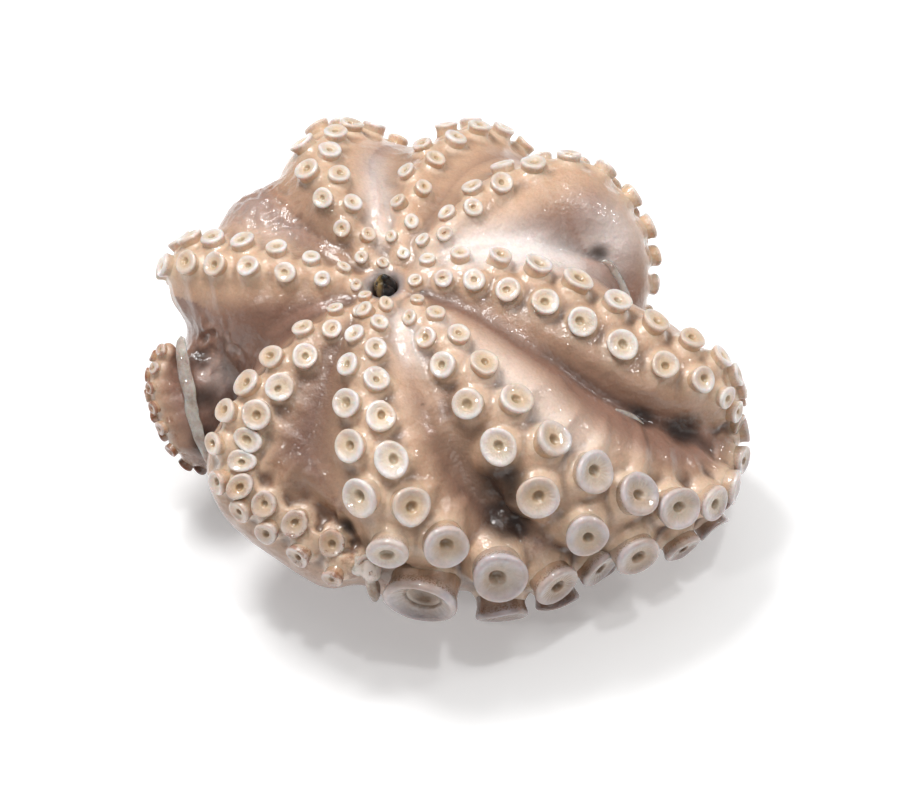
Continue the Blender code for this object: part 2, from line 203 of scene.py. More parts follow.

# Painted sheen (up to 1, paler) and painted shade (down to -1, darker) on the skin along a line between
# two arms: how far out that starts and ends, how near the second arm it runs, and its half width. Spots
# are the same round a point: place, half width and tone. The arms listed last get painted shade at
# shares of their length.
SHEEN_AND_SHADE_LINES = [
    ("back_left", "back", 8.0, 62.0, 0.5, 6.0, 0.6),
    ("front_right", "front", 4.0, 34.0, 0.45, 6.0, 0.7),
    ("right", "back_right", 16.0, 84.0, 0.42, 10.0, 1.2),
    ("right", "front_right", 34.0, 112.0, 0.22, 8.0, -0.45),
    ("right", "front_right", 30.0, 100.0, 0.74, 9.0, 0.5),
    ("front", "front_left", 18.0, 92.0, 0.5, 14.0, -0.7),
    ("front_left", "left", 22.0, 80.0, 0.5, 14.0, -0.2),
    ("back_left", "left", 14.0, 62.0, 0.22, 9.0, -0.4),
    ("back_left", "left", 40.0, 90.0, 0.62, 9.0, 0.25),
    ("front_right", "front", 44.0, 84.0, 0.5, 7.0, -0.4),
]
SHEEN_AND_SHADE_SPOTS = [
    ((60, 30, 92), 13.0, 0.8), ((-84, -11, 60), 8.0, 0.5), ((-75, -12, 72), 9.0, 0.5),
    ((-80, -24, 62), 9.0, 0.6), ((0, -50, 94), 7.0, -0.6), ((-2, -17, 104), 5.0, 0.6),
]
SHADED_ARMS = {"left": [(0.55, 0.0), (0.7, -0.3), (1, -0.2)]}

# Torn strands of membrane, each points and a radius, the loose strip on the left and the way that it
# faces, and the front left arm's torn end: its stub and the lumps beside it, each middle and half
# sizes.
STRANDS = [
    ([(57, 25, 86), (62, 22, 82), (66, 17, 77), (69, 13, 73)], 2.1),
    ([(60, -38.5, 80), (66, -39, 76), (71, -40, 72)], 1.2),
]
LEFT_STRIP = [(-99, -2, 74), (-98, -9, 69), (-96, -18, 62), (-94, -27, 54), (-90, -35, 45), (-84, -40, 37)]
STRIP_FACES = (-0.3, -0.6, 0.74)
STRIP_FLATNESS = 0.28
TIP_STUB = [(-28, -91, 52), (-26, -95, 47), (-26, -97, 43)]
TORN_TIP = [((-27, -92, 57), (4, 4, 5.4)), ((-31, -89, 56), (6, 4, 4.6))]

# How far the arms' flesh lies below the suckers' feet, in rim diameters.
STALK_RISE = 0.2

# Deep folds, as lines between two arms: how far out they start and end, how near the second arm they
# run, and their half width and depth.
FOLDS = [
    ("right", "front_right", 62.0, 150.0, 0.36, 5.0, 8.0),
    ("front_right", "front", 62.0, 118.0, 0.5, 13.0, 8.0),
    ("back_right", "right", 70.0, 112.0, 0.45, 6.0, 7.0),
    ("front", "front_left", 84.0, 128.0, 0.6, 5.0, 5.0),
]

# A sucker's outline from the middle of its underside over the rim to the bottom of its hole, in rim
# diameters: radius and height of a small, closed one, then of a large, open one, and how far along
# the outline the point is, from 0 to 1.
SUCKER_OUTLINE = [
    ((0.0, -0.3), (0.0, -0.3), 0.0), ((0.49, -0.26), (0.475, -0.26), 0.04),
    ((0.482, -0.1), (0.466, -0.1), 0.1), ((0.478, 0.02), (0.462, 0.02), 0.16),
    ((0.482, 0.1), (0.466, 0.1), 0.22), ((0.492, 0.165), (0.48, 0.165), 0.28),
    ((0.497, 0.228), (0.498, 0.222), 0.34), ((0.49, 0.28), (0.511, 0.272), 0.4),
    ((0.462, 0.322), (0.506, 0.316), 0.45), ((0.415, 0.35), (0.484, 0.345), 0.49),
    ((0.36, 0.362), (0.445, 0.36), 0.53), ((0.31, 0.356), (0.4, 0.354), 0.57),
    ((0.265, 0.338), (0.35, 0.336), 0.62), ((0.225, 0.318), (0.285, 0.314), 0.69),
    ((0.195, 0.306), (0.225, 0.304), 0.76), ((0.172, 0.303), (0.19, 0.304), 0.81),
    ((0.152, 0.294), (0.168, 0.298), 0.84), ((0.128, 0.268), (0.142, 0.27), 0.87),
    ((0.1, 0.238), (0.112, 0.226), 0.91), ((0.06, 0.216), (0.068, 0.192), 0.96),
    ((0.0, 0.21), (0.0, 0.186), 1.0),
]
SUCKER_MARKS = ("along", "stain", "large", "open")
SMALL_SUCKER = 5.0
LARGE_SUCKER = 10.5
GROOVES = 22

# The largest suckers gape: from GAPING_SUCKER on, and fully GAPING_SPAN above it, the hole and the
# stalk's top sink by up to GAPE rim diameters.
GAPING_SUCKER = 19.5
GAPING_SPAN = 6.0
GAPE = 0.11

# How unevenly the suckers stand: how far they tilt and how much less the largest do, how far rims
# bend and holes lie off the middle, in rim diameters, and how much wider a hole may be.
TILT = 0.22
LESS_TILT = 0.16
BEND = 0.075
OFF_MIDDLE = 0.07
WIDEST_HOLE = 1.35

# How far the skin is pressed in at the mouth, and how high the lip round it is.
MOUTH_PRESS = 9.0
LIP_RISE = 0.6

# The beak's halves: half width, half height, how far the tip hooks over and how far each is shifted.
BEAK_HALVES = [(4.2, 6.4, 0.4, 0.9), (3.4, 5.4, -0.6, -1.9)]
BEAK_SEAT = 1.4

# Where a line towards the skin starts above a point, and how far it looks.
LOOK_FROM = 25.0
LOOK_LENGTH = 50.0

# Colours that aren't settings, as they are seen, in parts of 255. Some are painted light: sheen and
# shade on the skin, shade in the hollows and on the low suckers, and in part the darkening into the holes.
SHADES = {
    "painted_sheen_skin": (250, 240, 235),
    "painted_shade_skin": (106, 78, 66),
    "mouth_lip": (158, 150, 150),
    "hollow": (50, 38, 34),
    "under_rim": (218, 200, 182),
    "cup_edge": (222, 204, 182),
    "hole_wall": (206, 182, 154),
    "hole_floor": (196, 170, 138),
    "hole": (168, 144, 116),
    "low_sucker_grey_and_shade": (206, 202, 210),
    "lowest_sucker_shade": (158, 142, 138),
    "stained_sucker": (214, 188, 166),
    "warm_sucker": (240, 222, 200),
    "collar": (122, 88, 66),
    "membrane": (226, 216, 208),
    "membrane_cloud": (186, 168, 156),
    "fresh_flesh": (228, 216, 206),
    "dull_flesh": (178, 154, 134),
    "torn_skin": (112, 94, 80),
    "horn_streak": (160, 134, 86),
}

# Rounds of smoothing after the folds are pressed in, and for the smooth skin that creases are
# measured from.
FOLD_SMOOTHING = 2
CREASE_SMOOTHING = 40

# Waves per metre of the skin's wrinkles: broad ones, fine ones, loose ones on the outer skin, which
# lie closer together up and down, and crumpled ones.
BROAD_WAVES = 55.0
FINE_WAVES = 150.0
LOOSE_WAVES = (60.0, 60.0, 150.0)
CRUMPLED_WAVES = 170.0

# The membrane's and the torn flesh's unevenness: waves per metre and depth in metres. The last is the
# cell of the torn flesh's mesh, in metres.
MEMBRANE_WAVES, MEMBRANE_DEPTH = 170.0, 0.001
TORN_WAVES, TORN_DEPTH = 260.0, 0.0005
TORN_CELL = 0.0006

# The floor lies this far below the CAD's level, in metres, and glows a little, as does the world.
FLOOR_DROP = 0.0005
FLOOR_GLOW = 0.22
WORLD_GLOW = 0.11

# The studio lights: place in metres, side of the square and power in watts.
LIGHTS = {
    "key": ((-0.28, 0.25, 0.95), 0.26, 6.2),
    "overhead": ((0.1, 0.25, 1.5), 1.4, 7.0),
    "front": ((0.45, -0.8, 0.8), 0.5, 1.2),
    "glint": ((0.15, -0.15, 1.1), 0.06, 1.8),
    "right_glint": ((0.75, 0.1, 0.7), 0.09, 1.5),
    "side_glint": ((-0.6, -0.5, 0.8), 0.07, 1.2),
}

# The camera looks at the bundle from the front and well above.
CAMERA_TARGET = np.array([0.0, -8.4, 40.0]) - MIDDLE
CAMERA_DISTANCE = 812.0
CAMERA_ELEVATION = math.radians(55.0)
CAMERA_LENS = 85.0


def unit(vectors):
    return vectors / np.linalg.norm(vectors, axis=-1, keepdims=True)


def dome_normal(points):
    """The outward direction of the dome at points on or near it."""
    return unit((points - DOME_CENTRE) / DOME_SEMI**2)


def smooth_line(controls, count):
    """count rows evenly spaced by length along a Catmull-Rom curve through the control rows."""
    rows = np.array(controls, float)
    rows = np.vstack([2 * rows[0] - rows[1], rows, 2 * rows[-1] - rows[-2]])
    fine = []
    for a, b, c, d in zip(rows, rows[1:], rows[2:], rows[3:]):
        for t in np.linspace(0.0, 1.0, CURVE_STEPS, endpoint=False):
            fine.append(0.5 * (2 * b + (c - a) * t + (2 * a - 5 * b + 4 * c - d) * t**2
                               + (3 * b - a - 3 * c + d) * t**3))
    fine = np.array(fine + [rows[-2]])
    along = np.concatenate([[0.0], np.cumsum(np.linalg.norm(np.diff(fine, axis=0), axis=1))])
    wanted = np.linspace(0.0, along[-1], count)
    return np.stack([np.interp(wanted, along, column) for column in fine.T], axis=1), along[-1]


def read_off(pairs, share):
    """The value at a share of an arm's length, from (share, value) pairs."""
    shares, values = zip(*pairs)
    return float(np.interp(share, shares, values))


def smoothstep(low, high, value):
    t = np.clip((value - low) / (high - low), 0.0, 1.0)
    return t * t * (3.0 - 2.0 * t)


def linear(red, green, blue):
    """Linear light from a colour as it is seen, in parts of 255."""
    seen = [part / 255.0 for part in (red, green, blue)]
    return tuple(c / 12.92 if c <= 0.04045 else ((c + 0.055) / 1.055) ** 2.4 for c in seen)


def shade(name):
    return linear(*SHADES[name])


class Arm:
    """One arm: its face's middle line, the frame along it, and its sizes at a share of its length."""

    def __init__(self, name, facts):
        self.name = name
        self.facts = facts
        self.length = smooth_line(facts["route"], 2)[1]
        self.ridge = smooth_line(facts["route"], round(self.length))[0] - MIDDLE
        self.shares = np.linspace(0.0, 1.0, len(self.ridge))
        self.tangent = unit(np.gradient(self.ridge, axis=0))
        self.side = unit(np.cross(self.tangent, dome_normal(self.ridge + MIDDLE)))
        facing = unit(np.cross(self.side, self.tangent))
        rolls = facts.get("roll", [(0, 0)])
        turn = np.radians([read_off(rolls, share) for share in self.shares])[:, None]
        self.facing = facing * np.cos(turn) + self.side * np.sin(turn)
        self.side = self.side * np.cos(turn) - facing * np.sin(turn)

    def at(self, rows, share):
        return np.array([np.interp(share, self.shares, column) for column in rows.T])

    def fullness(self, share):
        rise = min(1.0, share * self.length / FULL_AT)
        grown = ROOT_SHARE + (1.0 - ROOT_SHARE) * math.sin(rise * math.pi / 2)
        full = FULL_AT / self.length
        fall = max(0.0, (share - full) / (1.0 - full)) ** THINNING
        return grown * (1.0 - (1.0 - self.facts["tip"]) * fall)

    def width(self, share):
        return self.facts["width"] * self.fullness(share)

    def depth(self, share):
        return self.facts["depth"] * self.fullness(share)

    def lean(self, share):
        return read_off(self.facts.get("lean", [(0, 0)]), share)

    def surface(self, share, angle):
        """A point of the arm's skin, where angle 90 degrees is the middle of the sucker face."""
        power = 2.0 / SECTION_POWER
        across = math.copysign(abs(math.cos(angle)) ** power, math.cos(angle))
        out = math.copysign(abs(math.sin(angle)) ** power, math.sin(angle))
        across *= self.width(share) / 2 * (1.0 - ORAL_TAPER * out)
        across += self.lean(share)
        return (self.at(self.ridge, share) + self.at(self.side, share) * across
                + self.at(self.facing, share) * self.depth(share) / 2 * (out - 1.0))

    def core(self, share):
        """The middle of the arm's section."""
        return (self.at(self.ridge, share) + self.at(self.side, share) * self.lean(share)
                - self.at(self.facing, share) * self.depth(share) / 2)

    def suckers(self):
        """(foot, axis, diameter, share, row) of each sucker, in two rows that take turns."""
        found = []
        along, row = self.facts["start"], self.facts["first"]
        while along < self.length - BARE_TIP:
            share = along / self.length
            size = read_off(self.facts["sizes"], share)
            off_middle = row * self.facts["spread"] * size - self.lean(share)
            across = 2.0 * off_middle / self.width(share) / (1.0 - ORAL_TAPER)
            bend = min(WIDEST_ROW, abs(across)) ** (SECTION_POWER / 2)
            angle = math.acos(math.copysign(bend, across))
            axis = unit(self.at(self.facing, share) * math.cos(SUCKER_SPLAY)
                        + self.at(self.side, share) * row * math.sin(SUCKER_SPLAY))
            buried = max(0.0, abs(across) - WIDEST_ROW) * self.width(share) / 2
            foot = self.surface(share, angle) + self.at(self.facing, share) * buried
            found.append((foot, axis, size, share, row))
            along += read_off(self.facts["pitch"], share) * size
            row = -row
        return found


arms = {name: Arm(name, facts) for name, facts in ARMS.items()}


def colour_property(name, description, red, green, blue):
    """A colour setting, whose default is given as it is seen, in parts of 255."""
    return bpy.props.FloatVectorProperty(name=name, description=description, subtype="COLOR", size=3,
                                         default=linear(red, green, blue))


class OctopusSettings(bpy.types.PropertyGroup):
    """Sizes and colours that a user would change."""

    skin_cell: bpy.props.FloatProperty(
        name="Skin cell", description="How fine the skin's mesh is", default=0.0011, min=0.0008,
        unit="LENGTH")
    flesh_cell: bpy.props.FloatProperty(
        name="Flesh cell", description="How fine the arms' and the web's first mesh is",
        default=0.002, min=0.001, unit="LENGTH")
    web_softness: bpy.props.IntProperty(
        name="Web softness", description="How softly the arms run into the web", default=14, min=0)
    skin_smoothing: bpy.props.IntProperty(
        name="Skin smoothing", description="How softly the stalks run into the arms", default=6, min=0)
    wrinkle_depth: bpy.props.FloatProperty(
        name="Wrinkle depth", description="How deep the skin's larger wrinkles are", default=0.0005,
        unit="LENGTH")
    rim_steps: bpy.props.IntProperty(
        name="Rim steps", description="Steps round a large sucker's rim", default=28, min=8)
    oral_colour: colour_property("Arm colour", "Skin between the suckers", 200, 164, 137)
    stalk_colour: colour_property("Stalk colour", "Stalks under the suckers", 220, 192, 166)
    web_colour: colour_property("Web colour", "Web between the arms", 146, 112, 96)
    # Painted shade: deep creases between the arms are darkened towards this colour.
    valley_shade_colour: colour_property("Valley colour", "Deep between the arms", 84, 60, 50)
    # The outer skin's own greyer colour, also used as painted shade low on the bundle.
    outer_skin_and_low_shade: colour_property("Back colour", "Outer skin, low on the bundle", 126, 104, 98)
    cup_colour: colour_property("Cup colour", "Inside of the suckers", 224, 207, 188)
    rim_colour: colour_property("Rim colour", "Rim of the suckers", 226, 218, 214)
    stain_colour: colour_property("Stain colour", "Brown cracks and stains", 128, 78, 46)
    horn_colour: colour_property("Beak colour", "The beak's horn", 12, 10, 10)


def settings():
    return bpy.context.scene.octopus_settings


def join_in(bm, made):
    """Moves everything in made into bm."""
    mesh = bpy.data.meshes.new("joined")
    made.to_mesh(mesh)
    made.free()
    bm.from_mesh(mesh)
    bpy.data.meshes.remove(mesh)


def add_swept(bm, place, around, along):
    """A closed skin from a sphere whose points go to place(share, angle)."""
    made = bmesh.new()
    bmesh.ops.create_uvsphere(made, u_segments=around, v_segments=along, radius=1.0)
    for vert in made.verts:
        x, y, z = vert.co
        share = math.acos(max(-1.0, min(1.0, z))) / math.pi
        vert.co = Vector(place(share, math.atan2(y, x))) * MM
    join_in(bm, made)


def add_ball(bm, centre, semi, around, up):
    """An ellipsoid, given in the solids' own frame before it is centred."""
    made = bmesh.new()
    bmesh.ops.create_uvsphere(made, u_segments=around, v_segments=up, radius=1.0)
    for vert in made.verts:
        vert.co = Vector((np.array(centre) + np.array(vert.co) * np.array(semi) - MIDDLE) * MM)
    join_in(bm, made)


def add_arm(bm, arm):
    """The arm as a rounded tube with blunt ends."""
    nose = 0.3 * arm.width(1.0)

    def place(share, angle):
        end = min(share, 1.0 - share) * arm.length
        round_off = math.sqrt(max(0.0, 1.0 - (1.0 - min(1.0, end / nose)) ** 2))
        core = arm.core(share)
        sunk = STALK_RISE * read_off(arm.facts["sizes"], share) * arm.at(arm.facing, share)
        return core + (arm.surface(share, angle) - core) * round_off - sunk

    add_swept(bm, place, 28, round(arm.length / 2.2))


def add_thread(bm, points, radius, around=10, along=16, facing=None, flat=1.0):
    """A soft thread through points, whose radius(share) is in millimetres, or a flat ribbon that faces
    one way."""
    line = smooth_line(points, 40)[0]
    tangent = unit(np.gradient(line, axis=0))
    side = unit(np.cross(tangent, facing or dome_normal(line + MIDDLE)))
    up = np.cross(side, tangent)
    shares = np.linspace(0.0, 1.0, len(line))

    def at(rows, share):
        return np.array([np.interp(share, shares, column) for column in rows.T])

    def place(share, angle):
        turned = math.cos(angle) * at(side, share) + flat * math.sin(angle) * at(up, share)
        return at(line, share) + radius(share) * turned

    add_swept(bm, place, around, along)


def body_samples():
    """Points of the arms that the web follows, seen from BODY_CENTRE, with half widths there."""
    lines, halves = [], []
    for arm in arms.values():
        lying = arm.shares[::RIDGE_STEP] <= arm.facts.get("lies_to", 1.0)
        lines.append(arm.ridge[::RIDGE_STEP][lying])
        halves.append([arm.width(share) / 2 for share in arm.shares[::RIDGE_STEP][lying]])
    offsets = np.vstack(lines) + MIDDLE - BODY_CENTRE
    radii = np.linalg.norm(offsets, axis=1)
    return offsets / radii[:, None], radii, np.concatenate(halves)


def body_radius(way, samples):
    """How far the web lies from BODY_CENTRE in a direction."""
    directions, radii, halves = samples
    away = BODY_REACH * np.linalg.norm(directions - way, axis=1)
    pull = 1.0 / (away**2 + BODY_SOFTNESS**2) ** 2
    gap = max(0.0, float((away - halves).min()))
    sag = VALLEY_DEPTH * (1.0 - math.exp(-((gap / VALLEY_SPAN) ** 2)))
    return float((pull * radii).sum() / pull.sum()) - WEB_DEPTH - sag


def add_body(bm, samples):
    made = bmesh.new()
    bmesh.ops.create_uvsphere(made, u_segments=110, v_segments=64, radius=1.0)
    for vert in made.verts:
        way = np.array(vert.co)
        radius = body_radius(way, samples)
        low = min(1.0, max(0.0, -way[2] * radius / BODY_CENTRE[2]))
        way = way * radius * (1.0 - UNDERCUT * low * np.array([1.0, 1.0, 0.0]))
        point = BODY_CENTRE + way - MIDDLE
        point[2] = max(0.0, point[2])
        vert.co = Vector(point * MM)
    join_in(bm, made)


def valley_line(first, second, start, end, base, nearness=0.5):
    """Points on the skin between two arms, from start to end along them."""
    points = []
    for along in np.linspace(start, end, 9):
        a, b = arms[first], arms[second]
        middle = (a.at(a.ridge, along / a.length) * (1.0 - nearness)
                  + b.at(b.ridge, along / b.length) * nearness)
        points.append(on_skin(base, middle, dome_normal(middle + MIDDLE)))
    return np.array(points)


def on_skin(base, point, way):
    """Where a line along way through point meets the skin, or point itself if it misses."""
    start = Vector((point + way * LOOK_FROM) * MM)
    hit = base.ray_cast(start, Vector(-way), LOOK_LENGTH * MM)[0]
    return np.array(hit) / MM if hit else point


def search_tree(points):
    tree = kdtree.KDTree(len(points))
    for i, point in enumerate(points):
        tree.insert(point, i)
    tree.balance()
    return tree


def press_folds(bm, base):
    """Presses the deep folds between arms into the skin."""
    for first, second, start, end, nearness, half_width, depth in FOLDS:
        line = smooth_line(valley_line(first, second, start, end, base, nearness), 40)[0]
        tree = search_tree(line)
        for vert in bm.verts:
            _, index, away = tree.find(vert.co / MM)
            if away < 2 * half_width:
                ends = math.sin(math.pi * (index + 0.5) / len(line)) ** 0.5
                press = depth * ends * math.exp(-((away / half_width) ** 2) * 1.4)
                vert.co -= Vector(dome_normal(line[index] + MIDDLE) * press * MM)


def gaping(size):
    """How far a sucker gapes, from 0 to 1."""
    return max(0.0, min(1.0, (size - GAPING_SUCKER) / GAPING_SPAN))


def stalk_template(flare):
    """A stalk of rim diameter 1: it ends below the rim, and flares where it runs into the arm."""
    bm = bmesh.new()
    for low, high, wide, narrow in ((-0.13, 0.09, 0.55, 0.45), (-0.46, -0.12, 0.55 + flare, 0.55),
                                    (-0.9, -0.45, 0.6, 0.54 + 0.6 * flare)):
        part = bmesh.ops.create_cone(bm, cap_ends=True, segments=20, radius1=wide, radius2=narrow,
                                     depth=high - low)
        bmesh.ops.translate(bm, verts=part["verts"], vec=(0.0, 0.0, (low + high) / 2))
    mesh = bpy.data.meshes.new("stalk_template")
    bm.to_mesh(mesh)
    bm.free()
    return mesh


def add_stalk(bm, template, base, arm, sucker):
    """The stalk under a sucker, and the rib that it sends down the arm's flank."""
    foot, axis, size, share, row = sucker
    tangent = arm.at(arm.tangent, share)
    across = unit(np.cross(axis, tangent))
    turn = Matrix((unit(np.cross(across, axis)), across, axis)).transposed().to_4x4()
    known = len(bm.verts)
    bm.from_mesh(template)
    bm.verts.ensure_lookup_table()
    low = foot - axis * GAPE * gaping(size) * size
    matrix = Matrix.Translation(Vector(low * MM)) @ turn @ Matrix.Scale(size * MM, 4)
    bmesh.ops.transform(bm, matrix=matrix, verts=bm.verts[known:])
    outward = arm.at(arm.side, share) * row
    reach = RIBS.get(arm.name, {}).get(row, PLAIN_RIB) * size
    line = [foot - axis * 0.1 * size]
    for far in np.linspace(0.45 * size, reach, 4):
        point = on_skin(base, foot + outward * far, axis)
        if (point - foot) @ axis > 0.1 * size or (point - line[-1]) @ axis < -1.2 * size:
            break
        line.append(point - axis * 0.12 * size)
    if len(line) < 3:
        return
    add_thread(bm, np.array(line), lambda s: size * (0.40 - 0.26 * s) * math.sin(math.pi * s) ** 0.25, 8, 10)


def fuse(bm, cell):
    """One skin round everything in bm, with cells of a given size."""
    mesh = bpy.data.meshes.new("rough")
    bmesh.ops.recalc_face_normals(bm, faces=bm.faces)
    bm.to_mesh(mesh)
    bm.free()
    rough = bpy.data.objects.new("rough", mesh)
    bpy.context.scene.collection.objects.link(rough)
    remesh = rough.modifiers.new("skin", "REMESH")
    remesh.mode = "VOXEL"
    remesh.voxel_size = cell
    graph = bpy.context.evaluated_depsgraph_get()
    fused = bpy.data.meshes.new_from_object(rough.evaluated_get(graph))
    bpy.data.objects.remove(rough)
    result = bmesh.new()
    result.from_mesh(fused)
    bpy.data.meshes.remove(fused)
    return result


def new_piece(name, bm, material):
    """A finished object at the origin that rides on the body and is shaded smooth."""
    mesh = bpy.data.meshes.new(name)
    bm.to_mesh(mesh)
    bm.free()
    mesh.shade_smooth()
    mesh.materials.append(material)
    item = bpy.data.objects.new(name, mesh)
    bpy.context.scene.collection.objects.link(item)
    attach(item, "root")
    return item


def smooth(bm, times):
    for _ in range(times):
        bmesh.ops.smooth_vert(bm, verts=bm.verts, factor=0.5, use_axis_x=True, use_axis_y=True,
                              use_axis_z=True)


def places(bm):
    return np.array([vert.co for vert in bm.verts]) / MM


def sink_mouth(bm):
    """Presses the skin in where the mouth is, with a raised lip round it."""
    axis = dome_normal(MOUTH)
    centre = MOUTH - MIDDLE
    for vert in bm.verts:
        offset = np.array(vert.co) / MM - centre
        height = float(offset @ axis)
        if height < -12.0:
            continue
        away = float(np.linalg.norm(offset - height * axis))
        if away < 3 * MOUTH_RADIUS:
            press = MOUTH_PRESS * (1.0 - float(smoothstep(0.5 * MOUTH_RADIUS, 1.15 * MOUTH_RADIUS, away)))
            lip = LIP_RISE * math.exp(-((away - 1.5 * MOUTH_RADIUS) / 1.6) ** 2)
            vert.co += Vector(axis * (lip - press) * MM)


def add_marks(bm, names):
    """New values for the mesh's points to carry, by name."""
    for name in names:
        bm.verts.layers.float.new(name)
    return {name: bm.verts.layers.float[name] for name in names}


def arm_lookup():
    """A search tree of points along the arms, and the (point, name, share) of each."""
    rows = [(point, arm.name, share) for arm in arms.values()
            for share, point in zip(arm.shares, arm.ridge)]
    return search_tree([row[0] for row in rows]), rows


def sucker_lookup():
    """A search tree of the suckers' middles, and the (point, diameter) of each."""
    rows = [(foot + axis * SUCKER_HEIGHT * size, size) for arm in arms.values()
            for foot, axis, size, _, _ in arm.suckers()]
    return search_tree([row[0] for row in rows]), rows


def sheen_and_shade_lookup(base):
    """A search tree of points where sheen and shade are painted, and the (point, width, tone) of each."""
    rows = []
    for first, second, start, end, nearness, half_width, tone in SHEEN_AND_SHADE_LINES:
        line = smooth_line(valley_line(first, second, start, end, base, nearness), 40)[0]
        for i, point in enumerate(line):
            rows.append((point, half_width, tone * math.sin(math.pi * (i + 0.5) / len(line)) ** 0.4))
    rows += SHEEN_AND_SHADE_SPOTS
    return search_tree([row[0] for row in rows]), rows


def mark_skin(bm, creases, base):
    """Writes how much each point belongs to the arms' faces, stalks, creases, stains and hollows, which with
    the pale and dark marks say where shade and sheen are painted.
    """
    names = ("oral", "stalk", "crease", "stain", "hollow", "lip", "pale", "dark")
    layers = add_marks(bm, names)
    tone_tree, tone_rows = sheen_and_shade_lookup(base)
    arm_tree, arm_rows = arm_lookup()
    sucker_tree, sucker_rows = sucker_lookup()
    for vert, crease in zip(bm.verts, creases):
        point = vert.co / MM
        _, index, away = arm_tree.find(point)
        _, name, share = arm_rows[index]
        off_face = away / (arms[name].width(share) / 2)
        vert[layers["oral"]] = 1.0 - float(smoothstep(0.75, 1.7, off_face))
        _, index, away = sucker_tree.find(point)
        size = sucker_rows[index][1]
        vert[layers["stalk"]] = 1.0 - float(smoothstep(0.4, 1.15, away / size))
        vert[layers["crease"]] = float(np.clip(crease, -1.0, 1.0))
        marks = STAIN.get(name)
        close = 1.0 - float(smoothstep(0.9, 1.9, off_face))
        vert[layers["stain"]] = read_off(marks, share) * close if marks else 0.0
        # Painted sheen goes into the pale mark and painted shade into the dark mark.
        _, index, away = tone_tree.find(point)
        tone = tone_rows[index][2] * math.exp(-((away / tone_rows[index][1]) ** 2))
        tone += read_off(SHADED_ARMS.get(name, [(0, 0.0)]), share) * close
        vert[layers["pale"]] = max(0.0, tone)
        vert[layers["dark"]] = max(0.0, -tone)
        for centre, radius in HOLLOWS:
            apart = (point - Vector(centre)).length / radius
            vert[layers["hollow"]] = max(vert[layers["hollow"]], 1.0 - float(smoothstep(0.4, 1.3, apart)))
        apart = (point - Vector(MOUTH - MIDDLE)).length
        vert[layers["lip"]] = 1.0 - float(smoothstep(6.0, 9.5, apart))


def wrinkle(bm, depth):
    """Moves the skin in and out by uneven wrinkles, more on the outer skin than between suckers."""
    vert_layers = bm.verts.layers.float
    for vert in bm.verts:
        point = vert.co
        broad = noise.noise(point * BROAD_WAVES) * 1.4
        fine = 0.6 * (noise.ridged_multi_fractal(point * FINE_WAVES, 1.0, 2.0, 3, 0.8, 2.0) - 1.0)
        outer = 1.0 - vert[vert_layers["oral"]]
        loose = noise.noise(point * Vector(LOOSE_WAVES))
        vert.co += vert.normal * depth * (broad + 0.2 * fine + outer * (1.2 * loose + 0.25 * fine))
        for centre, radius, deep in CRUMPLED:
            near = 1.0 - float(smoothstep(0.45, 1.0, (point / MM - Vector(centre)).length / radius))
            if near:
                spot = Vector((point.x - point.y, point.z * 0.6, point.x + point.y))
                fold = (1.0 - abs(noise.noise(spot * CRUMPLED_WAVES)) * 3.0) * deep * near
                vert.co += vert.normal * fold * MM
                # Inward crumples raise the crease mark, so painted valley shade falls in them.
                vert[vert_layers["crease"]] -= 0.35 * fold


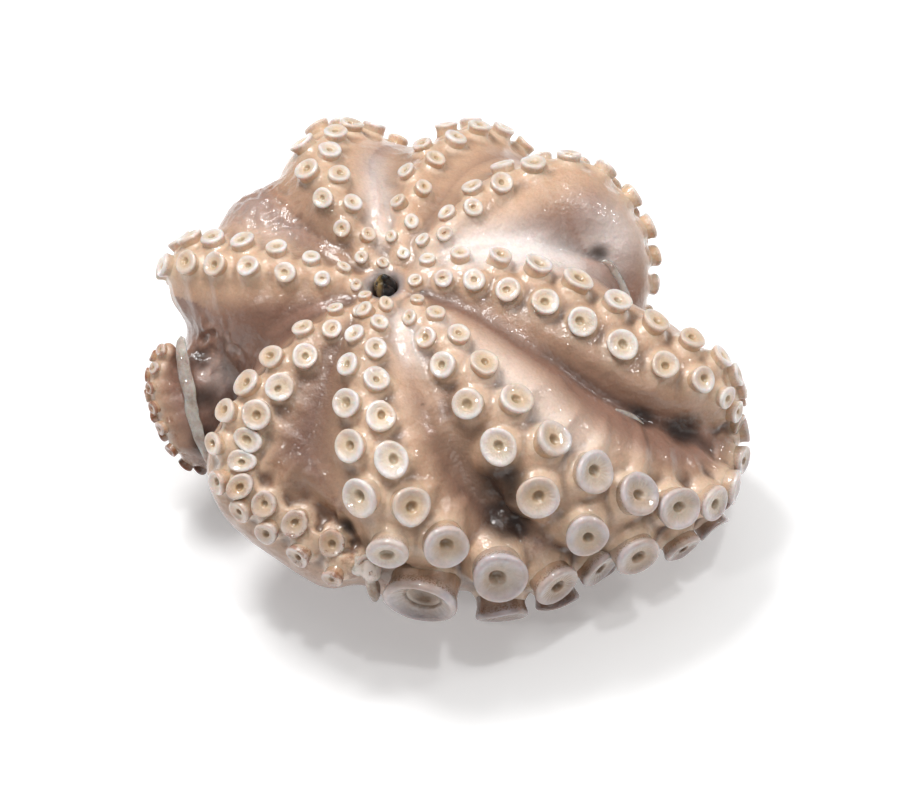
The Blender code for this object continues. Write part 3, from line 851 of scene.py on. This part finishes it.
class WetMaterial:
    """A material with a wet, slightly see-through shader, and short ways to add nodes to it."""

    def __init__(self, name, coat, rough, scatter):
        self.material = bpy.data.materials.new(name)
        self.material.use_nodes = True
        self.nodes = self.material.node_tree.nodes
        self.links = self.material.node_tree.links
        self.inputs = self.nodes["Principled BSDF"].inputs
        for socket, value in (("Roughness", rough), ("IOR", 1.4), ("Coat Weight", coat),
                              ("Coat Roughness", 0.04), ("Coat IOR", 1.45),
                              ("Subsurface Weight", scatter), ("Subsurface Radius", (1.0, 0.42, 0.26)),
                              ("Subsurface Scale", 0.004)):
            self.inputs[socket].default_value = value

    def put(self, value, socket):
        """Links a socket to another, or sets it where the value is a number or a colour."""
        if isinstance(value, bpy.types.NodeSocket):
            self.links.new(value, socket)
        elif isinstance(value, (int, float)):
            socket.default_value = value
        else:
            socket.default_value = (*value, 1.0)

    def math(self, operation, first, second=0.0):
        node = self.nodes.new("ShaderNodeMath")
        node.operation = operation
        self.put(first, node.inputs[0])
        self.put(second, node.inputs[1])
        return node.outputs[0]

    def times(self, first, second):
        return self.math("MULTIPLY", first, second)

    def mix(self, share, first, second, blend="MIX"):
        node = self.nodes.new("ShaderNodeMix")
        node.data_type = "RGBA"
        node.blend_type = blend
        for number, value in ((0, share), (6, first), (7, second)):
            self.put(value, node.inputs[number])
        return node.outputs[2]

    def tint(self, base, share, strength, colour, blend="MIX"):
        """The base with a colour over it, as much as share times strength."""
        return self.mix(self.times(share, strength), base, colour, blend)

    def mark(self, name):
        """A value that the mesh's points carry."""
        node = self.nodes.new("ShaderNodeAttribute")
        node.attribute_name = name
        return node.outputs["Fac"]

    def grain(self, scale, detail, roughness, stretch=None):
        """Noise in object space, stretched where stretch gives a scale for each axis."""
        coords = self.nodes.new("ShaderNodeTexCoord").outputs["Object"]
        if stretch:
            mapping = self.nodes.new("ShaderNodeMapping")
            mapping.inputs["Scale"].default_value = stretch
            self.links.new(coords, mapping.inputs["Vector"])
            coords = mapping.outputs["Vector"]
        node = self.nodes.new("ShaderNodeTexNoise")
        for socket, value in (("Scale", scale), ("Detail", detail), ("Roughness", roughness)):
            node.inputs[socket].default_value = value
        self.links.new(coords, node.inputs["Vector"])
        return node.outputs["Fac"]

    def ranged(self, value, low, high, to_low=0.0, to_high=1.0):
        node = self.nodes.new("ShaderNodeMapRange")
        for socket, number in (("From Min", low), ("From Max", high), ("To Min", to_low),
                               ("To Max", to_high)):
            node.inputs[socket].default_value = number
        self.links.new(value, node.inputs["Value"])
        return node.outputs["Result"]

    def place(self, axis):
        """Where a point lies along X, Y or Z, in metres, in object space."""
        parts = self.nodes.new("ShaderNodeSeparateXYZ")
        self.links.new(self.nodes.new("ShaderNodeTexCoord").outputs["Object"], parts.inputs[0])
        return parts.outputs[axis]

    def grey(self, value):
        shade = self.nodes.new("ShaderNodeCombineXYZ")
        for socket in shade.inputs:
            self.links.new(value, socket)
        return shade.outputs[0]

    def bump(self, layers, normal=None):
        """The normal after bumps, each (height socket, distance in metres, strength)."""
        for value, distance, strength in layers:
            node = self.nodes.new("ShaderNodeBump")
            node.inputs["Distance"].default_value = distance
            node.inputs["Strength"].default_value = strength
            self.links.new(value, node.inputs["Height"])
            if normal:
                self.links.new(normal, node.inputs["Normal"])
            normal = node.outputs["Normal"]
        return normal

    def finish(self, base, layers):
        """Gives the shader its colour and bumps, and returns the bumped normal."""
        normal = self.bump(layers)
        self.links.new(base, self.inputs["Base Color"])
        self.links.new(normal, self.inputs["Normal"])
        return normal


def skin_material():
    """Wet skin: beige on the arms, pinkish on the web, with painted shade in valleys, creases and hollows,
    painted sheen on some webs, and greyer outer skin that is painted darker low on the bundle.
    """
    skin = WetMaterial("wet_skin", 0.75, 0.34, 0.35)
    look = settings()
    mottle = skin.grain(38.0, 4.0, 0.6)
    base = skin.mix(skin.mark("oral"), look.web_colour, look.oral_colour)
    base = skin.mix(skin.mark("stalk"), base, look.stalk_colour)
    # Painted shade: the skin darkens towards the valley colour where it lies deep in a crease.
    base = skin.tint(base, skin.ranged(skin.mark("crease"), 0.12, 0.85), 0.75, look.valley_shade_colour)
    # Painted sheen on the pale lines and spots, painted shade on the dark ones.
    base = skin.tint(base, skin.mark("pale"), 0.8, shade("painted_sheen_skin"))
    base = skin.tint(base, skin.mark("dark"), 0.9, shade("painted_shade_skin"))
    # The outer skin is greyer in its own colour and painted darker low on the bundle as shade.
    outer = skin.times(skin.ranged(skin.place("Z"), 0.064, 0.028),
                       skin.math("SUBTRACT", 1.0, skin.mark("stalk")))
    base = skin.tint(base, outer, 0.8, look.outer_skin_and_low_shade)
    cloud = skin.ranged(mottle, 0.35, 0.65, 0.93, 1.05)
    speckle = skin.ranged(skin.grain(950.0, 2.0, 0.6), 0.3, 0.62, 0.93, 1.04)
    base = skin.mix(1.0, base, skin.grey(skin.times(cloud, speckle)), "MULTIPLY")
    spots = skin.ranged(skin.grain(160.0, 5.0, 0.7), 0.52, 0.66)
    base = skin.tint(base, skin.times(spots, skin.mark("stain")), 0.75, look.stain_colour)
    base = skin.tint(base, skin.mark("lip"), 0.85, shade("mouth_lip"))
    # Painted shade in the hollows.
    base = skin.tint(base, skin.mark("hollow"), 0.9, shade("hollow"))
    skin.links.new(skin.ranged(mottle, 0.35, 0.65, 0.26, 0.44), skin.inputs["Roughness"])
    ripples = skin.grain(170.0, 4.0, 0.55)
    wrinkles = skin.grain(480.0, 2.0, 0.5)
    pores = skin.grain(1150.0, 2.0, 0.5)
    normal = skin.finish(base, [(ripples, 0.003, 0.28), (wrinkles, 0.0008, 0.14),
                                (pores, 0.0004, 0.16)])
    film = skin.bump([(skin.grain(560.0, 2.0, 0.5), 0.0008, 0.25)], normal)
    skin.links.new(film, skin.inputs["Coat Normal"])
    return skin.material


def sucker_material():
    """Suckers: a pearly rim, a cream cup with faint radial grooves, and a tan hole that darkens towards its
    floor, partly by painted shade; low suckers get painted shade too.
    """
    pearl = WetMaterial("wet_sucker", 0.9, 0.28, 0.45)
    look = settings()
    along = pearl.mark("along")
    ramp = pearl.nodes.new("ShaderNodeValToRGB")
    pearl.links.new(along, ramp.inputs["Fac"])
    # The cup darkens into the hole: the hole's own tan tint, deepened as painted shade down the recess.
    stops = [(0.0, look.stalk_colour), (0.17, look.stalk_colour), (0.3, shade("under_rim")),
             (0.39, look.rim_colour), (0.57, look.rim_colour), (0.7, look.cup_colour),
             (0.82, shade("cup_edge")), (0.89, shade("hole_wall")), (1.0, shade("hole_floor"))]
    elements = ramp.color_ramp.elements
    elements.remove(elements[0])
    for i, (share, colour) in enumerate(stops):
        element = elements[0] if i == 0 else elements.new(share)
        element.position = share
        element.color = (*colour, 1.0)
    # Open suckers' holes darken further: their own tint with painted shade down the hole.
    hole = pearl.times(pearl.ranged(along, 0.84, 0.95), pearl.mark("open"))
    base = pearl.mix(hole, ramp.outputs["Color"], shade("hole"))
    # Painted shade: suckers low on the bundle are darkened; large suckers are also greyer in their own
    # colour.
    low = pearl.ranged(pearl.place("Z"), 0.072, 0.028)
    grey = pearl.math("MAXIMUM", low, pearl.mark("large"))
    base = pearl.tint(base, grey, 0.75, shade("low_sucker_grey_and_shade"), "MULTIPLY")
    # Painted shade: the lowest suckers are darkened further.
    lowest_shade = pearl.ranged(pearl.place("Z"), 0.052, 0.034)
    base = pearl.tint(base, lowest_shade, 0.8, shade("lowest_sucker_shade"), "MULTIPLY")
    base = pearl.tint(base, pearl.mark("stain"), 0.55, shade("stained_sucker"), "MULTIPLY")
    warm = pearl.ranged(pearl.grain(60.0, 2.0, 0.5), 0.4, 0.6, 0.0, 0.7)
    base = pearl.mix(warm, base, shade("warm_sucker"), "MULTIPLY")
    mottle = pearl.ranged(pearl.grain(260.0, 4.0, 0.6), 0.35, 0.65, 0.88, 1.05)
    base = pearl.mix(1.0, base, pearl.grey(mottle), "MULTIPLY")
    outside = pearl.times(pearl.ranged(along, 0.41, 0.36), pearl.ranged(along, 0.2, 0.3))
    collar = pearl.times(outside, pearl.ranged(pearl.grain(1500.0, 2.0, 0.6), 0.47, 0.6))
    strength = pearl.ranged(pearl.mark("large"), 0.0, 1.0, 0.22, 0.75)
    base = pearl.tint(base, collar, strength, shade("collar"))
    ring = pearl.times(pearl.ranged(along, 0.52, 0.46), pearl.ranged(along, 0.24, 0.32))
    edge = pearl.times(ring, pearl.ranged(pearl.grain(120.0, 2.0, 0.5), 0.46, 0.52))
    cracks = pearl.math("MAXIMUM", pearl.ranged(pearl.grain(210.0, 5.0, 0.7), 0.55, 0.62), edge)
    base = pearl.tint(base, pearl.times(cracks, pearl.mark("stain")), 0.85, look.stain_colour)
    turn = pearl.nodes.new("ShaderNodeTexGradient")
    turn.gradient_type = "RADIAL"
    pearl.links.new(pearl.nodes.new("ShaderNodeUVMap").outputs["UV"], turn.inputs["Vector"])
    wave = pearl.math("SINE", pearl.times(turn.outputs["Fac"], 2 * math.pi * GROOVES))
    disc = pearl.times(pearl.ranged(along, 0.56, 0.64), pearl.ranged(along, 0.84, 0.74))
    depth = pearl.times(pearl.ranged(pearl.mark("large"), 0.0, 1.0, 0.15, 1.4),
                        pearl.ranged(pearl.grain(150.0, 2.0, 0.5), 0.42, 0.6))
    grooves = pearl.times(wave, pearl.times(disc, depth))
    pearl.finish(base, [(grooves, 0.00012, 0.5), (pearl.grain(420.0, 3.0, 0.6), 0.0012, 0.4),
                        (pearl.grain(1300.0, 2.0, 0.6), 0.0003, 0.3)])
    return pearl.material


def membrane_material():
    """Thin torn membrane: pale, partly clear and very wet."""
    film = WetMaterial("wet_membrane", 1.0, 0.2, 0.5)
    film.inputs["Transmission Weight"].default_value = 0.4
    cloud = film.ranged(film.grain(240.0, 4.0, 0.6), 0.35, 0.65)
    base = film.mix(cloud, shade("membrane"), shade("membrane_cloud"))
    brown = film.ranged(film.grain(420.0, 5.0, 0.7), 0.6, 0.72)
    base = film.tint(base, brown, 0.6, settings().stain_colour)
    film.finish(base, [(film.grain(500.0, 4.0, 0.6), 0.001, 0.5)])
    return film.material


def torn_material():
    """Torn flesh: white where it is fresh, brown in its cracks, grey towards its outer skin."""
    flesh = WetMaterial("torn_flesh", 0.8, 0.3, 0.4)
    cloud = flesh.ranged(flesh.grain(130.0, 4.0, 0.6), 0.42, 0.6)
    base = flesh.mix(cloud, shade("fresh_flesh"), shade("dull_flesh"))
    crack = flesh.ranged(flesh.grain(300.0, 5.0, 0.75), 0.57, 0.66)
    base = flesh.tint(base, crack, 0.8, settings().stain_colour)
    low = flesh.ranged(flesh.place("Z"), 0.051, 0.045)
    base = flesh.tint(base, low, 0.8, shade("torn_skin"))
    flesh.finish(base, [(flesh.grain(380.0, 5.0, 0.65), 0.0012, 0.6)])
    return flesh.material


def horn_material():
    """Polished black horn with brown streaks on its left."""
    horn = WetMaterial("black_horn", 0.9, 0.2, 0.0)
    streaks = horn.ranged(horn.grain(260.0, 4.0, 0.6, (1.0, 1.0, 0.3)), 0.42, 0.54)
    left = horn.ranged(horn.place("X"), -0.023, -0.025)
    base = horn.tint(settings().horn_colour, horn.times(streaks, left), 0.8, shade("horn_streak"))
    horn.finish(base, [(horn.grain(380.0, 3.0, 0.5), 0.002, 0.7)])
    return horn.material


def sucker_template(openness, steps):
    """A sucker of rim diameter 1, standing on the origin, turned from its outline."""
    bm = bmesh.new()
    along = add_marks(bm, SUCKER_MARKS)["along"]
    line = []
    for closed, opened, share in SUCKER_OUTLINE:
        radius = closed[0] + (opened[0] - closed[0]) * openness
        level = closed[1] + (opened[1] - closed[1]) * openness
        vert = bm.verts.new((radius, 0.0, level))
        vert[along] = share
        line.append(vert)
    edges = [bm.edges.new(pair) for pair in zip(line, line[1:])]
    bmesh.ops.spin(bm, geom=line + edges, cent=(0, 0, 0), axis=(0, 0, 1), angle=2 * math.pi,
                   steps=steps, use_merge=True, use_duplicate=False)
    bmesh.ops.remove_doubles(bm, verts=bm.verts, dist=0.0005)
    bmesh.ops.recalc_face_normals(bm, faces=bm.faces)
    uv = bm.loops.layers.uv.new("UVMap")
    for face in bm.faces:
        for loop in face.loops:
            loop[uv].uv = (loop.vert.co.x, loop.vert.co.y)
    mesh = bpy.data.meshes.new("sucker_template")
    bm.to_mesh(mesh)
    bm.free()
    return mesh


def add_sucker(bm, template, arm, sucker, stain, number):
    """One sucker, tilted and bent a little differently from the next."""
    foot, axis, size, share, _ = sucker
    known = len(bm.verts)
    bm.from_mesh(template)
    bm.verts.ensure_lookup_table()
    fresh = bm.verts[known:]
    tangent = arm.at(arm.tangent, share)
    chance = noise.noise_vector(Vector((number * 7.31, number * 3.17, arm.length)))
    tilt = TILT - LESS_TILT * gaping(size)
    leaning = unit(axis + tilt * (chance.x * tangent + chance.y * np.cross(axis, tangent)))
    across = unit(np.cross(leaning, tangent))
    turn = Matrix((unit(np.cross(across, leaning)), across, leaning)).transposed().to_4x4()
    squeeze = read_off(SQUEEZE.get(arm.name, [(0, 1.0)]), share) * (1.0 + 0.12 * chance.z)
    scale = Matrix.Diagonal((size * squeeze * MM, size * (1.0 + 0.08 * chance.x) * MM, size * MM, 1.0))
    layers = {name: bm.verts.layers.float[name] for name in SUCKER_MARKS}
    slit = 0.45 * max(0.0, min(1.0, (9.0 - size) / 4.0)) + 0.2 * abs(chance.y)
    gape = gaping(size)
    wide = min(WIDEST_HOLE, 1.0 + 0.3 * chance.x + 0.35 * gape)
    for vert in fresh:
        along = vert[layers["along"]]
        inner = float(smoothstep(0.6, 0.78, along))
        hole = float(smoothstep(0.74, 0.82, along))
        if along > 0.53:
            sunk = max(0.0, 1.0 - (vert.co.x**2 + vert.co.y**2) / 0.2)
            vert.co.z -= (GAPE * gape + 0.03 * chance.z) * sunk
        vert.co.x *= 1.0 + (wide - 1.0) * hole
        vert.co.y *= (1.0 - slit * inner) * (1.0 + (wide - 1.0) * hole)
        vert.co.x += OFF_MIDDLE * chance.y * inner
        vert.co.y += OFF_MIDDLE * chance.z * inner
        vert[layers["stain"]] = stain
        vert[layers["large"]] = float(smoothstep(11.0, 19.0, size))
        vert[layers["open"]] = 0.8 * float(smoothstep(6.0, 12.0, size + 3.0 * chance.z))
    bmesh.ops.transform(bm, matrix=Matrix.Translation(Vector(foot * MM)) @ turn @ scale, verts=fresh)
    for vert in fresh:
        bend = noise.noise_vector(vert.co / (size * MM) * 1.1 + Vector((number, 0, 0)))
        vert.co += bend * BEND * size * MM


class OCTOPUS_OT_skin(bpy.types.Operator):
    """Add the skin: body, web, arms and the stalks under the suckers"""

    bl_idname = "octopus.skin"
    bl_label = "Add skin"

    def execute(self, context):
        look = settings()
        bm = bmesh.new()
        add_body(bm, body_samples())
        for centre, semi in BULGES.values():
            add_ball(bm, centre, semi, 40, 24)
        for arm in arms.values():
            add_arm(bm, arm)
        bm = fuse(bm, look.flesh_cell)
        smooth(bm, look.web_softness)
        press_folds(bm, bvhtree.BVHTree.FromBMesh(bm))
        smooth(bm, FOLD_SMOOTHING)
        base = bvhtree.BVHTree.FromBMesh(bm)
        wide, slim = stalk_template(0.4), stalk_template(0.08)
        for arm in arms.values():
            for sucker in arm.suckers():
                crowded = read_off(arm.facts["pitch"], sucker[3]) < CROWDED
                add_stalk(bm, slim if crowded else wide, base, arm, sucker)
        for first, second, start, end, thickness in WEB_RIDGES:
            line = valley_line(first, second, start, end, base)
            add_thread(bm, line, lambda s: thickness * math.sin(math.pi * s) ** 0.4, 10, 40)
        bmesh.ops.bisect_plane(bm, geom=list(bm.verts) + list(bm.edges) + list(bm.faces),
                               plane_co=(0, 0, 0), plane_no=(0, 0, -1), clear_outer=False)
        for vert in bm.verts:
            vert.co.z = max(0.0, vert.co.z)
        bm = fuse(bm, look.skin_cell)
        smooth(bm, look.skin_smoothing)
        sink_mouth(bm)
        before = places(bm)
        bm.normal_update()
        normals = np.array([vert.normal for vert in bm.verts])
        trial = bm.copy()
        smooth(trial, CREASE_SMOOTHING)
        creases = ((places(trial) - before) * normals).sum(axis=1)
        trial.free()
        mark_skin(bm, creases, base)
        wrinkle(bm, look.wrinkle_depth)
        skin = new_piece("skin", bm, skin_material())
        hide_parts("octopus")
        return {"FINISHED"}


class OCTOPUS_OT_suckers(bpy.types.Operator):
    """Add each arm's two rows of suckers"""

    bl_idname = "octopus.suckers"
    bl_label = "Add suckers"

    def execute(self, context):
        steps = settings().rim_steps
        grades = [sucker_template(i / 4, steps) for i in range(5)]
        material = sucker_material()
        for arm in arms.values():
            bm = bmesh.new()
            add_marks(bm, SUCKER_MARKS)
            bm.loops.layers.uv.new("UVMap")
            marks = STAIN.get(arm.name, [(0, 0.0)])
            for number, sucker in enumerate(arm.suckers()):
                size, share = sucker[2], sucker[3]
                grade = (size - SMALL_SUCKER) / (LARGE_SUCKER - SMALL_SUCKER)
                template = grades[round(4 * max(0.0, min(1.0, grade)))]
                add_sucker(bm, template, arm, sucker, read_off(marks, share), number)
            new_piece(f"suckers_{arm.name}", bm, material)
        return {"FINISHED"}


class OCTOPUS_OT_stage(bpy.types.Operator):
    """Add the pale floor, the soft lights and the camera"""

    bl_idname = "octopus.stage"
    bl_label = "Add stage"

    def execute(self, context):
        scene = context.scene
        bm = bmesh.new()
        bmesh.ops.create_grid(bm, x_segments=1, y_segments=1, size=6.0)
        mesh = bpy.data.meshes.new("floor")
        bm.to_mesh(mesh)
        bm.free()
        material = bpy.data.materials.new("pale_floor")
        material.use_nodes = True
        inputs = material.node_tree.nodes["Principled BSDF"].inputs
        inputs["Base Color"].default_value = (0.9, 0.9, 0.9, 1.0)
        inputs["Roughness"].default_value = 0.8
        inputs["Emission Color"].default_value = (1.0, 1.0, 1.0, 1.0)
        inputs["Emission Strength"].default_value = FLOOR_GLOW
        mesh.materials.append(material)
        floor = bpy.data.objects.new("floor", mesh)
        floor.location.z = -FLOOR_DROP
        scene.collection.objects.link(floor)
        world = bpy.data.worlds.new("studio")
        world.use_nodes = True
        inputs = world.node_tree.nodes["Background"].inputs
        inputs["Color"].default_value = (1.0, 1.0, 1.0, 1.0)
        inputs["Strength"].default_value = WORLD_GLOW
        scene.world = world
        target = Vector(CAMERA_TARGET * MM)
        for name, (spot, size, power) in LIGHTS.items():
            light = bpy.data.lights.new(name, "AREA")
            light.size = size
            light.energy = power
            lamp = bpy.data.objects.new(name, light)
            lamp.location = spot
            lamp.rotation_euler = (target - Vector(spot)).to_track_quat("-Z", "Y").to_euler()
            scene.collection.objects.link(lamp)
        back = Vector((0.0, -math.cos(CAMERA_ELEVATION), math.sin(CAMERA_ELEVATION)))
        camera = bpy.data.objects.new("camera", bpy.data.cameras.new("camera"))
        camera.data.lens = CAMERA_LENS
        camera.location = target + back * CAMERA_DISTANCE * MM
        camera.rotation_euler = (-back).to_track_quat("-Z", "Y").to_euler()
        scene.collection.objects.link(camera)
        scene.camera = camera
        scene.view_settings.view_transform = "Standard"
        return {"FINISHED"}


class OCTOPUS_OT_mouth(bpy.types.Operator):
    """Add the beak's two hooked halves"""

    bl_idname = "octopus.mouth"
    bl_label = "Add beak"

    def execute(self, context):
        bm = bmesh.new()
        axis = dome_normal(MOUTH)
        for width, height, hook, shift in BEAK_HALVES:
            half = bmesh.new()
            bmesh.ops.create_uvsphere(half, u_segments=28, v_segments=20, radius=1.0)
            for vert in half.verts:
                x, y, z = vert.co
                narrow = 1.0 - 0.2 * max(0.0, z)
                lump = 1.0 + 0.1 * noise.noise(Vector((x, y, z)) * 2.2 + Vector((width, 0, 0)))
                vert.co = Vector((x * width * narrow * lump + hook * max(0.0, z) ** 2,
                                  y * width * 0.68 * narrow * lump + shift, z * height - 2.2))
            turn = Vector((0, 0, 1)).rotation_difference(Vector(axis)).to_matrix().to_4x4()
            seat = Matrix.Translation(Vector((MOUTH - MIDDLE - axis * BEAK_SEAT) * MM))
            bmesh.ops.transform(half, matrix=seat @ turn @ Matrix.Scale(MM, 4), verts=half.verts)
            join_in(bm, half)
        beak = new_piece("beak_halves", bm, horn_material())
        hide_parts("beak")
        return {"FINISHED"}


class OCTOPUS_OT_scraps(bpy.types.Operator):
    """Add torn strands, the loose strip on the left and the torn tip of the front left arm"""

    bl_idname = "octopus.scraps"
    bl_label = "Add torn scraps"

    def execute(self, context):
        context.view_layer.update()
        tree = bvhtree.BVHTree.FromObject(bpy.data.objects["skin"], context.evaluated_depsgraph_get())
        bm = bmesh.new()
        for line, thick in STRANDS:
            points = []
            for point in np.array(line, float):
                way = dome_normal(point + MIDDLE)
                points.append(on_skin(tree, point, way) - way * 0.4 * thick)
            add_thread(bm, np.array(points), lambda s: thick * (0.55 + 0.45 * math.sin(math.pi * s)), 12, 24)
        add_thread(bm, np.array(LEFT_STRIP, float),
                   lambda s: (3.2 - 1.2 * s) * math.sin(math.pi * s) ** 0.25, 20, 48, STRIP_FACES,
                   STRIP_FLATNESS)
        for vert in bm.verts:
            vert.co += MEMBRANE_DEPTH * noise.noise_vector(vert.co * MEMBRANE_WAVES)
        new_piece("membrane_scraps", bm, membrane_material())
        bm = bmesh.new()
        add_thread(bm, np.array(TIP_STUB, float),
                   lambda s: (3.0 - 1.1 * s) * math.sin(math.pi * s) ** 0.3, 16, 24)
        for centre, semi in TORN_TIP:
            add_ball(bm, np.array(centre, float) + MIDDLE, semi, 24, 16)
        bm = fuse(bm, TORN_CELL)
        for vert in bm.verts:
            vert.co += vert.normal * TORN_DEPTH * noise.noise(vert.co * TORN_WAVES)
        smooth(bm, 2)
        new_piece("torn_flesh", bm, torn_material())
        return {"FINISHED"}


class OCTOPUS_PT_panel(bpy.types.Panel):
    """Lists the octopus's pieces"""

    bl_idname = "OCTOPUS_PT_panel"
    bl_label = "Octopus"
    bl_space_type = "VIEW_3D"
    bl_region_type = "UI"
    bl_category = "Octopus"

    def draw(self, context):
        for name in OctopusSettings.__annotations__:
            self.layout.prop(context.scene.octopus_settings, name)
        for operator in OPERATORS:
            self.layout.operator(operator.bl_idname)


OPERATORS = (OCTOPUS_OT_skin, OCTOPUS_OT_suckers, OCTOPUS_OT_mouth, OCTOPUS_OT_scraps, OCTOPUS_OT_stage)
CLASSES = (OctopusSettings, *OPERATORS, OCTOPUS_PT_panel)


def register():
    for item in CLASSES:
        bpy.utils.register_class(item)
    bpy.types.Scene.octopus_settings = bpy.props.PointerProperty(type=OctopusSettings)


def unregister():
    del bpy.types.Scene.octopus_settings
    for item in reversed(CLASSES):
        bpy.utils.unregister_class(item)


def main():
    register()
    bpy.ops.octopus.skin()
    bpy.ops.octopus.suckers()
    bpy.ops.octopus.mouth()
    bpy.ops.octopus.scraps()
    bpy.ops.octopus.stage()


if __name__ == "__main__":
    main()
